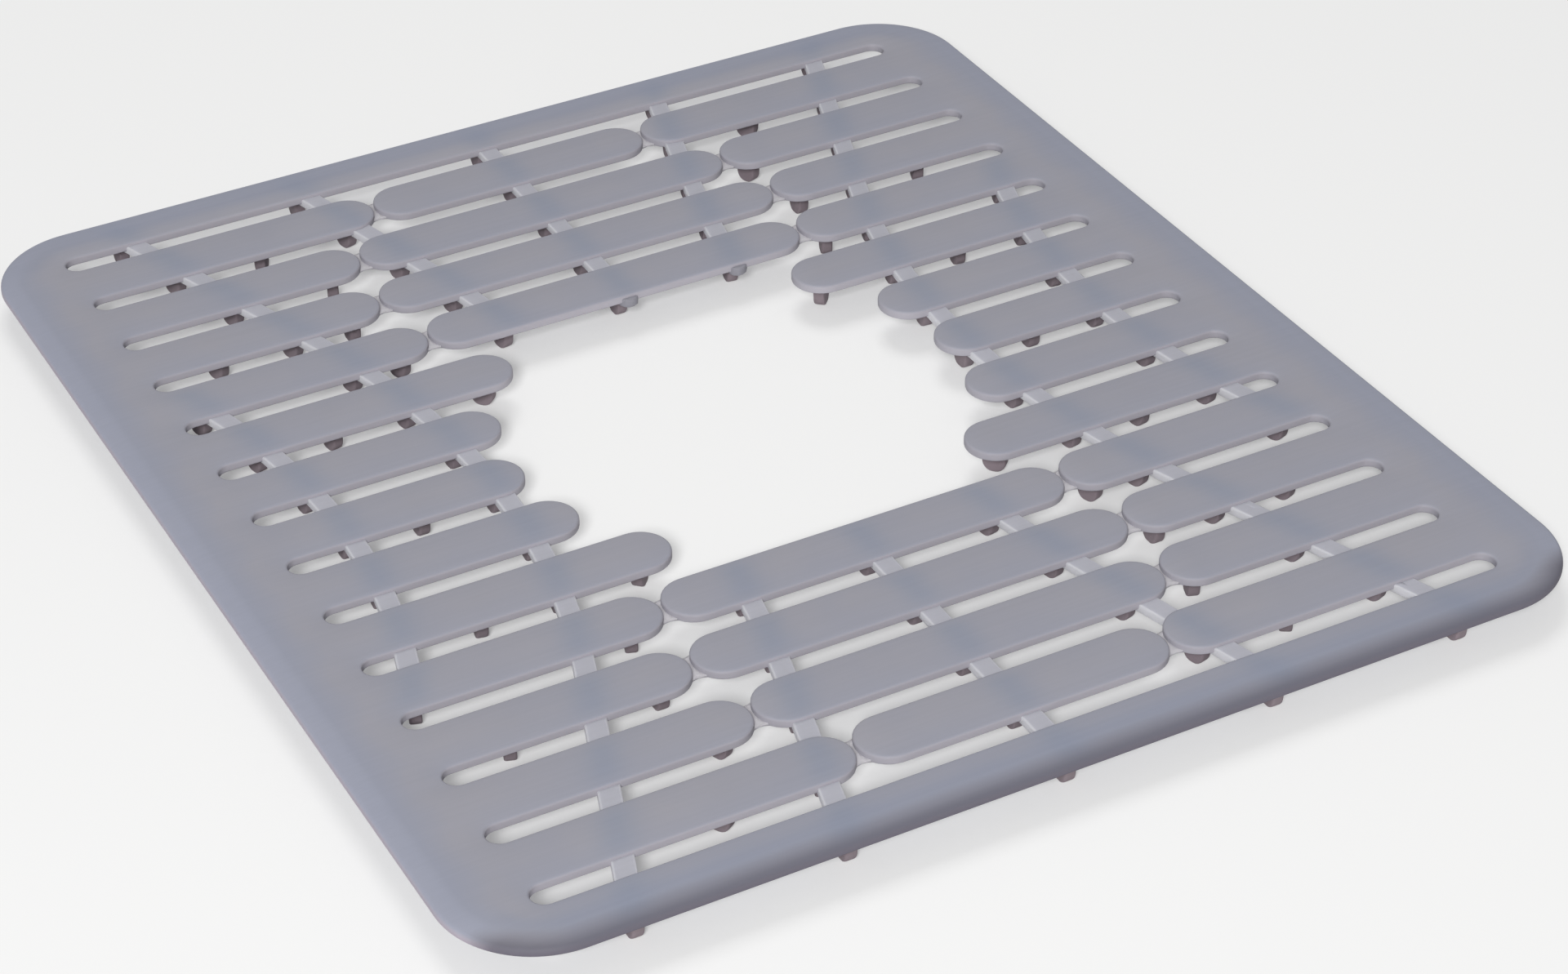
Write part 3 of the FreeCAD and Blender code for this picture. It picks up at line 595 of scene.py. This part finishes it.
def make_skin():
    """The bands, borders and side slats as one closed skin."""
    mesh = bmesh.new()
    inset_layer = mesh.verts.layers.float.new("inset")
    sweep(mesh, inner_edge(), edge_section(SLAT_HALF, crown_drop), inset_layer)
    sweep(mesh, outer_edge(), edge_section(OUTER_SLOPE, slope_drop, OUTER_ROUND), inset_layer)
    bmesh.ops.remove_doubles(mesh, verts=mesh.verts, dist=MERGE_DISTANCE)
    for height in (TOP, SKIN_BOTTOM):
        rims = [edge for edge in mesh.edges if edge.is_boundary
                and all(abs(vertex.co.z - height) < LEVEL_TOLERANCE for vertex in edge.verts)]
        bmesh.ops.triangle_fill(mesh, use_beauty=True, edges=rims)
    piece = finish_mesh(mesh, "mat_skin", skin_material)
    note_marks(piece.data)
    return piece


settle(make_skin(), "skin", "left_band", "right_band", "back_border", "front_border",
       *[f"{side}_slat_{row:02d}" for side in ("left", "right") for row in range(1, ROWS + 1)])


# ---------------------------------------------------------------- geometry nodes

def start_tree(name, inputs):
    """A geometry tree with named inputs. It gives back the tree and its input sockets by name."""
    tree = bpy.data.node_groups.new(name, "GeometryNodeTree")
    tree.interface.new_socket("Geometry", in_out="INPUT", socket_type="NodeSocketGeometry")
    for socket_name, kind in inputs:
        tree.interface.new_socket(socket_name, in_out="INPUT", socket_type=f"NodeSocket{kind}")
    tree.interface.new_socket("Geometry", in_out="OUTPUT", socket_type="NodeSocketGeometry")
    sockets = {socket.name: socket for socket in add_node(tree, "NodeGroupInput").outputs if socket.name}
    return tree, sockets


def end_tree(tree, geometry, material):
    """Every tree ends the same way: joined into one mesh, with its material set."""
    real = add_node(tree, "GeometryNodeRealizeInstances", inputs={"Geometry": geometry})
    coated = add_node(tree, "GeometryNodeSetMaterial", inputs={
        "Geometry": real.outputs["Geometry"], "Material": material})
    add_node(tree, "NodeGroupOutput", inputs={"Geometry": coated.outputs["Geometry"]})


def calculate(tree, operation, *values):
    """The output of a math node."""
    node = tree.nodes.new("ShaderNodeMath")
    node.operation = operation
    for socket, value in zip(node.inputs, values):
        if isinstance(value, bpy.types.NodeSocket):
            tree.links.new(value, socket)
        else:
            socket.default_value = value
    return node.outputs["Value"]


def grow(name, tree, seed_data, material, **values):
    """Run a tree on a seed mesh, and keep the result as a plain mesh."""
    seed = bpy.data.objects.new(f"{name}_seed", seed_data)
    bpy.context.scene.collection.objects.link(seed)
    modifier = seed.modifiers.new("grow", "NODES")
    modifier.node_group = tree
    values["Material"] = material
    for item in tree.interface.items_tree:
        if item.in_out == "INPUT" and item.name in values:
            modifier[item.identifier] = values[item.name]
    graph = bpy.context.evaluated_depsgraph_get()
    data = bpy.data.meshes.new_from_object(seed.evaluated_get(graph))
    data.name = name
    seed.modifiers.remove(modifier)
    bpy.data.objects.remove(seed)
    return data


def close_up(data):
    """Merge doubles, fill what is still open, and turn every face outwards."""
    mesh = bmesh.new()
    mesh.from_mesh(data)
    bmesh.ops.remove_doubles(mesh, verts=mesh.verts, dist=MERGE_DISTANCE)
    filled = bmesh.ops.holes_fill(mesh, edges=[edge for edge in mesh.edges if edge.is_boundary])
    bmesh.ops.triangulate(mesh, faces=filled["faces"])
    bmesh.ops.recalc_face_normals(mesh, faces=mesh.faces)
    mesh.to_mesh(data)
    mesh.free()


def loose_line(name, places, **marks):
    """A mesh of points joined in a row, with a number on each point for each named mark."""
    data = bpy.data.meshes.new(name)
    data.from_pydata(places, [(index, index + 1) for index in range(len(places) - 1)], [])
    write_marks(data, **marks)
    return data


# ---------------------------------------------------------------- bars: centre slats and ribs

def bar_tree():
    """A bar with two round ends: its outline carries a section drawn as (-inset, -height).

    Where Side isn't 0 it lies along Y, bows round a waist on that side, and then runs straight."""
    tree, given = start_tree("round_ended_bar", (
        ("Across", "Float"), ("Along", "Float"), ("Radius", "Float"), ("Spacing", "Float"),
        ("Place", "Vector"), ("Side", "Float"), ("Waist", "Float"), ("Bend", "Float"), ("Lean", "Float"),
        ("Material", "Material")))
    outline = add_node(tree, "GeometryNodeCurvePrimitiveQuadrilateral", inputs={
        "Width": given["Across"], "Height": given["Along"]})
    rounded = add_node(tree, "GeometryNodeFilletCurve", mode="POLY", inputs={
        "Curve": outline.outputs["Curve"], "Count": END_POINTS, "Radius": given["Radius"],
        "Limit Radius": True})
    spaced_out = add_node(tree, "GeometryNodeResampleCurve", mode="LENGTH", inputs={
        "Curve": rounded.outputs["Curve"], "Length": given["Spacing"]})
    level = add_node(tree, "GeometryNodeSetCurveNormal", mode="Z_UP", inputs={
        "Curve": spaced_out.outputs["Curve"]})
    section = add_node(tree, "GeometryNodeMeshToCurve", inputs={"Mesh": given["Geometry"]})
    swept = add_node(tree, "GeometryNodeCurveToMesh", inputs={
        "Curve": level.outputs["Curve"], "Profile Curve": section.outputs["Curve"]})
    placed = add_node(tree, "GeometryNodeSetPosition", inputs={
        "Geometry": swept.outputs["Mesh"], "Offset": given["Place"]})

    place = add_node(tree, "ShaderNodeSeparateXYZ", inputs={
        "Vector": add_node(tree, "GeometryNodeInputPosition").outputs["Position"]})
    along = calculate(tree, "ABSOLUTE", place.outputs["Y"])
    turn = calculate(tree, "MULTIPLY", given["Bend"], calculate(tree, "SINE", given["Lean"]))
    arc = calculate(tree, "MINIMUM", along, turn)
    past = calculate(tree, "MAXIMUM", calculate(tree, "SUBTRACT", along, turn), 0.0)
    squares = calculate(tree, "SUBTRACT", calculate(tree, "MULTIPLY", given["Bend"], given["Bend"]),
                        calculate(tree, "MULTIPLY", arc, arc))
    reach = calculate(tree, "SQRT", squares)
    bow = calculate(tree, "SUBTRACT", given["Bend"], reach)
    run = calculate(tree, "MULTIPLY", past, calculate(tree, "TANGENT", given["Lean"]))
    line = calculate(tree, "ADD", calculate(tree, "ADD", given["Waist"], bow), run)
    wider = calculate(tree, "SUBTRACT", calculate(tree, "DIVIDE", given["Bend"], reach), 1.0)
    spread = calculate(tree, "MULTIPLY", calculate(tree, "MULTIPLY", place.outputs["X"], wider),
                       calculate(tree, "ABSOLUTE", given["Side"]))
    shift = calculate(tree, "ADD", calculate(tree, "MULTIPLY", given["Side"], line), spread)
    offset = add_node(tree, "ShaderNodeCombineXYZ", inputs={"X": shift})
    bowed = add_node(tree, "GeometryNodeSetPosition", inputs={
        "Geometry": placed.outputs["Geometry"], "Offset": offset.outputs["Vector"]})
    end_tree(tree, bowed.outputs["Geometry"], given["Material"])
    return tree


BAR = bar_tree()


def bar_rule(line, side):
    """How a bar follows a rib's line on one side, 1 or -1. On side 0 it stays straight."""
    waist, bend, lean = line
    return {"Side": float(side), "Waist": waist, "Bend": bend, "Lean": math.radians(lean)}


# A straight bar is on side 0, so its line moves nothing.
STRAIGHT_LINE = (0.0, 1.0, 0.0)
STRAIGHT = bar_rule(STRAIGHT_LINE, 0)


def make_bar(name, material, section, across, along, place, rule):
    """A round-ended bar as a closed mesh, with each vertex's distance in from the outline."""
    seed = loose_line(f"{name}_section", [(-inset, -height, 0) for inset, height in section],
                      inset=[inset for inset, height in section])
    data = grow(name, BAR, seed, material, Across=across, Along=along, Radius=min(across, along) / 2,
                Spacing=OUTLINE_SPACING, Place=place, **rule)
    close_up(data)
    return data


def make_centre_slats():
    """The crowned slats that can be snipped out, each the size of its own node."""
    section = edge_section(SLAT_HALF - SPINE_GAP, crown_drop)
    for row in CENTRE_ROWS:
        node = f"centre_slat_{row:02d}"
        low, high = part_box(node)
        middle = ((low.x + high.x) / 2, (low.y + high.y) / 2, 0)
        data = make_bar(node, skin_material, section, high.x - low.x, high.y - low.y, middle, STRAIGHT)
        note_marks(data)
        settle(add_piece(f"{node}_crowned", data, skin_material), "skin", node)


def rib_section():
    """(inset, height) pairs up a rib's wall and over its rounded edge."""
    turns = [math.radians(angle) for angle in QUARTER_TURN]
    section = [(RIB_HALF - SPINE_GAP, RIB_BOTTOM)] + lower_edge(RIB_ROUND, RIB_BOTTOM)
    section += [(RIB_ROUND * (1 - math.cos(turn)), RIB_TOP - RIB_ROUND * (1 - math.sin(turn)))
                for turn in turns]
    insets = (RIB_EDGE_WIDTH, 2 * RIB_EDGE_WIDTH, RIB_HALF - SPINE_GAP)
    return section + [(inset, RIB_TOP) for inset in insets]


def stub_share(y, start):
    """1 along a stub that shows past its last slat, 0 further back, and 0 on every other rib."""
    return float(start == STUB_END) * (1 - held((y - start - STUB_TONED) / STUB_FADE))


def make_ribs():
    """Every rib: its node, its line, the side that it bows to, and where it starts and ends along Y."""
    ribs = (("main_rib_right", MAIN_LINE, 1, -RIB_END, RIB_END),
            ("main_rib_left", MAIN_LINE, -1, -RIB_END, RIB_END),
            ("outer_rib_right", OUTER_LINE, 1, -OUTER_RIB_END, OUTER_RIB_END),
            ("outer_rib_left", OUTER_LINE, -1, -OUTER_RIB_END, OUTER_RIB_END),
            ("inner_rib_back_right", INNER_LINE, 1, STUB_END, RIB_END),
            ("inner_rib_back_left", INNER_LINE, -1, HIDDEN_END, RIB_END),
            ("inner_rib_front_right", INNER_LINE, 1, -RIB_END, -HIDDEN_END),
            ("inner_rib_front_left", INNER_LINE, -1, -RIB_END, -HIDDEN_END),
            ("centre_rib_back", STRAIGHT_LINE, 0, STUB_END, RIB_END),
            ("centre_rib_front", STRAIGHT_LINE, 0, -RIB_END, -HIDDEN_END))
    for node, line, side, start, end in ribs:
        data = make_bar(node, rib_material, rib_section(), 2 * RIB_HALF, end - start,
                        (0, (start + end) / 2, 0), bar_rule(line, side))
        insets = [mark.value for mark in data.attributes["inset"].data]
        stubs = [stub_share(point.co.y, start) for point in data.vertices]
        # Painted highlight along a rib's edges (the lip mark), kept off its stub.
        edge_highlights = [max(0, 1 - inset / RIB_EDGE_WIDTH) * (1 - stub) for inset, stub in zip(insets, stubs)]
        write_marks(data, lip=edge_highlights, stub=stubs)
        settle(add_piece(f"{node}_moulded", data, rib_material), "rib", node)


make_centre_slats()
make_ribs()


# ---------------------------------------------------------------- feet and webs

def ring(mesh, half_x, half_y, corner, z):
    """One level of a foot: a rectangle with round corners."""
    vertices = []
    for sign_x, sign_y, start in ((1, 1, 0), (-1, 1, 90), (-1, -1, 180), (1, -1, 270)):
        for turn in QUARTER_TURN:
            angle = math.radians(start + turn)
            x = sign_x * (half_x - corner) + corner * math.cos(angle)
            y = sign_y * (half_y - corner) + corner * math.sin(angle)
            vertices.append(mesh.verts.new((x, y, z)))
    return vertices


def rounding(radius, height):
    """How far a rounded bottom edge draws in at a height above its lowest point."""
    under = max(radius - height, 0)
    return radius - math.sqrt(radius * radius - under * under)


def make_foot(name, top):
    """One foot: a blade with a draft, round bottom corners, and a small flare where it leaves the mat."""
    mesh = bmesh.new()
    heights = [FOOT_CORNER * share for share in FOOT_LEVELS]
    heights += [top - 2 * FOOT_FLARE, top - FOOT_FLARE, top - FOOT_FLARE / 2, top]
    rings = []
    for z in heights:
        flare = FOOT_FLARE * max(0, 1 - (top - z) / (2 * FOOT_FLARE)) ** 2
        half_y = FOOT_TIP_WIDTH / 2 + (FOOT_WIDTH - FOOT_TIP_WIDTH) / 2 * z / top
        half_y += flare - rounding(FOOT_CORNER, z)
        half_x = FOOT_THICKNESS / 2 + flare - rounding(FOOT_EDGE, z)
        corner = min(FOOT_EDGE, half_x * FOOT_EDGE_LIMIT, half_y * FOOT_EDGE_LIMIT)
        rings.append(ring(mesh, half_x, half_y, corner, z))
    for lower, upper in zip(rings, rings[1:]):
        join_lines(mesh, lower, upper, closed=True)
    mesh.faces.new(list(reversed(rings[0])))
    mesh.faces.new(rings[-1])
    return finish_mesh(mesh, name, foot_material)


def make_web():
    """One snip web: a thin sheet between two round tips, hollow at its free ends."""
    mesh = bmesh.new()
    centre_x = SLAT_HALF + TIP_GAP / 2
    reach = WEB_LENGTH / 2
    corner_x = centre_x - math.sqrt(SLAT_HALF ** 2 - reach ** 2)
    hollow_y = reach + math.sqrt(WEB_HOLLOW ** 2 - corner_x ** 2)
    layers = []
    for z in (web_low.z, web_high.z):
        columns = []
        for step_x in range(-WEB_STEPS_ACROSS, WEB_STEPS_ACROSS + 1):
            share = step_x / WEB_STEPS_ACROSS
            end_y = hollow_y - math.sqrt(WEB_HOLLOW ** 2 - (share * corner_x) ** 2)
            column = []
            for step_y in range(-WEB_STEPS_ALONG, WEB_STEPS_ALONG + 1):
                y = end_y * step_y / WEB_STEPS_ALONG
                x = share * (centre_x - math.sqrt(SLAT_HALF ** 2 - y * y) + WEB_TUCK)
                column.append(mesh.verts.new((x, y, z)))
            columns.append(column)
        layers.append(columns)
    for columns in layers:
        for first, second in zip(columns, columns[1:]):
            join_lines(mesh, first, second)
    borders = [([column[0] for column in columns], [column[-1] for column in columns],
                columns[0], columns[-1]) for columns in layers]
    for lower, upper in zip(*borders):
        join_lines(mesh, lower, upper)
    return finish_mesh(mesh, "web_pattern", web_material)


def stations_tree():
    """One pattern set down on every station, turned by the station's own lean."""
    tree, given = start_tree("set_on_stations", (("Pattern", "Object"), ("Material", "Material")))
    lean = add_node(tree, "GeometryNodeInputNamedAttribute", data_type="FLOAT", inputs={"Name": "lean"})
    turn = add_node(tree, "ShaderNodeCombineXYZ", inputs={"Z": lean.outputs["Attribute"]})
    rotation = add_node(tree, "FunctionNodeEulerToRotation", inputs={"Euler": turn.outputs["Vector"]})
    pattern = add_node(tree, "GeometryNodeObjectInfo", inputs={"Object": given["Pattern"]})
    copies = add_node(tree, "GeometryNodeInstanceOnPoints", inputs={
        "Points": given["Geometry"], "Instance": pattern.outputs["Geometry"],
        "Rotation": rotation.outputs["Rotation"]})
    end_tree(tree, copies.outputs["Instances"], given["Material"])
    return tree


def circle_lean(x, row):
    """The lean of a foot that stands along the circle at its own end of the mat."""
    if row == MIDDLE_ROW:
        return 0.0
    circle_row = CIRCLE_ROWS[0] if row < MIDDLE_ROW else CIRCLE_ROWS[-1]
    return -math.degrees(math.atan2(row_y(row) - row_y(circle_row), x))


def rib_station(y, line):
    """A place on a rib's line, and the line's lean there."""
    return rib_x(y, line), y, rib_lean(y, line)


def main_stations():
    """Feet under a main rib, one for each slat and each border."""
    stations = [rib_station(row_y(row), MAIN_LINE) for row in range(1, ROWS + 1)]
    return stations + [(rib_x(y, MAIN_LINE), y, 0.0) for y in (BORDER_FOOT, -BORDER_FOOT)]


def outer_stations():
    """Feet under an outer rib, one for each slat that it crosses."""
    return [rib_station(row_y(row), OUTER_LINE) for row in OUTER_RIB_ROWS]


def mid_stations():
    """Feet under a slat, midway between the main rib and the next rib or the slots' ends."""
    stations = []
    for row in MID_FOOT_ROWS:
        near_x, y, lean = rib_station(row_y(row), MAIN_LINE)
        far_x = rib_x(y, OUTER_LINE) if row in OUTER_RIB_ROWS else SLAT_ROOT + SLOT_RADIUS
        if row in (1, ROWS):
            far_x = rib_x(y, INNER_LINE)
            lean = circle_lean((near_x + far_x) / 2, row)
        stations.append(((near_x + far_x) / 2, y, lean))
    return stations


def tip_stations():
    """Feet under the round tips."""
    places = [(tip_x(row) + SLAT_HALF, row) for row in TIP_FOOT_ROWS]
    return [(x, row_y(row), circle_lean(x, row)) for x, row in places]


def centre_stations():
    """Feet at the back, under the inner and the centre ribs."""
    stations = []
    for row in BACK_CENTRE_ROWS:
        x, y, lean = rib_station(row_y(row), INNER_LINE)
        stations += [(x, y, lean), (0.0, y, 0.0), (-x, y, -lean)]
    border_x = rib_x(BORDER_FOOT, INNER_LINE)
    return stations + [(x, BORDER_FOOT, 0.0) for x in (border_x, 0.0, -border_x)]


def web_stations():
    """The middles of the gaps at the back, between side slats and centre slats."""
    places = [(tip_x(row) - TIP_GAP / 2, row_y(row)) for row in BACK_CENTRE_ROWS]
    return [(side * x, y, 0.0) for x, y in places for side in (1, -1)]


def set_down(node, tree, pattern, material, slot_name, stations, turned=False):
    """Set a pattern on its stations, for one node. Turned sets face the other way about."""
    sign = -1 if turned else 1
    seed = loose_line(f"{node}_stations", [(sign * x, sign * y, 0) for x, y, lean in stations],
                      lean=[-math.radians(lean) for x, y, lean in stations])
    data = grow(node, tree, seed, material, Pattern=pattern)
    settle(add_piece(f"{node}_set", data, material), slot_name, node)


def make_feet_and_webs():
    """Set down every foot and web, and take the patterns away."""
    tree = stations_tree()
    rib_foot = make_foot("rib_foot_pattern", RIB_BOTTOM + FOOT_SINK)
    slat_foot = make_foot("slat_foot_pattern", SKIN_BOTTOM + FOOT_SINK)
    web = make_web()
    set_down("snip_webs_back", tree, web, web_material, "web", web_stations())
    set_down("snip_webs_front", tree, web, web_material, "web", web_stations(), turned=True)
    set_down("centre_feet_back", tree, rib_foot, foot_material, "foot", centre_stations())
    set_down("centre_feet_front", tree, rib_foot, foot_material, "foot", centre_stations(), turned=True)
    sets = (("main", rib_foot, main_stations()), ("outer", rib_foot, outer_stations()),
            ("mid", slat_foot, mid_stations()), ("tip", slat_foot, tip_stations()))
    for side in ("left", "right"):
        for kind, pattern, stations in sets:
            set_down(f"{kind}_feet_{side}", tree, pattern, foot_material, "foot", stations,
                     turned=side == "left")
    for pattern in (rib_foot, slat_foot, web):
        bpy.data.objects.remove(pattern)


make_feet_and_webs()


# ---------------------------------------------------------------- floor, light and camera

FLOOR_SIZE = 8.0
FLOOR_TONE = (0.88, 0.88, 0.875, 1)
FLOOR_ROUGHNESS = 0.9
FLOOR_GLOW = 0.88
GLOW_SHARE = 0.30
WORLD_TONE = (1.0, 1.0, 1.0, 1)
WORLD_STRENGTH = 0.30
CAMERA_PLACE = (-0.3488, -0.6942, 0.5204)
CAMERA_ANGLES = (55.375, 0.898, -28.165)
CAMERA_LENS = 86.11
SENSOR_WIDTH = 36
NEAREST_SEEN = 0.01


def make_floor():
    """A plain pale floor. The camera also sees a share of glow in it, which lights nothing."""
    bpy.ops.mesh.primitive_plane_add(size=FLOOR_SIZE)
    floor = bpy.context.object
    floor.name = "floor"
    material, tree, shader = start_material("floor_paper")
    shader.inputs["Base Color"].default_value = FLOOR_TONE
    shader.inputs["Roughness"].default_value = FLOOR_ROUGHNESS
    glow = add_node(tree, "ShaderNodeEmission", inputs={"Strength": FLOOR_GLOW})
    seen = add_node(tree, "ShaderNodeLightPath").outputs["Is Camera Ray"]
    share = calculate(tree, "MULTIPLY", seen, GLOW_SHARE)
    blend_shaders(tree, share, shader.outputs["BSDF"], glow.outputs["Emission"])
    floor.data.materials.append(material)


def make_world():
    """A plain white light from all round."""
    world = bpy.data.worlds.new("studio")
    bpy.context.scene.world = world
    world.use_nodes = True
    background = world.node_tree.nodes["Background"]
    background.inputs["Color"].default_value = WORLD_TONE
    background.inputs["Strength"].default_value = WORLD_STRENGTH


def add_lamp(name, place, size, power):
    """A square lamp that looks at the middle of the mat."""
    lamp = bpy.data.lights.new(name, "AREA")
    lamp.shape = "SQUARE"
    lamp.size = size
    lamp.energy = power
    holder = bpy.data.objects.new(name, lamp)
    bpy.context.scene.collection.objects.link(holder)
    holder.location = place
    holder.rotation_euler = (-Vector(place)).to_track_quat("-Z", "Y").to_euler()


def place_camera():
    """The camera of the main view."""
    data = bpy.data.cameras.new("camera")
    data.sensor_width = SENSOR_WIDTH
    data.lens = CAMERA_LENS
    data.clip_start = NEAREST_SEEN
    camera = bpy.data.objects.new("camera", data)
    camera.location = CAMERA_PLACE
    camera.rotation_euler = [math.radians(angle) for angle in CAMERA_ANGLES]
    bpy.context.scene.collection.objects.link(camera)
    bpy.context.scene.camera = camera


make_floor()
make_world()
add_lamp("back_softbox", place=(0.45, 1.5, 2.4), size=1.3, power=24.3)
add_lamp("front_softbox", place=(-1.15, -1.7, 1.42), size=0.5, power=50.5)
place_camera()
bpy.context.scene.view_settings.view_transform = "Standard"
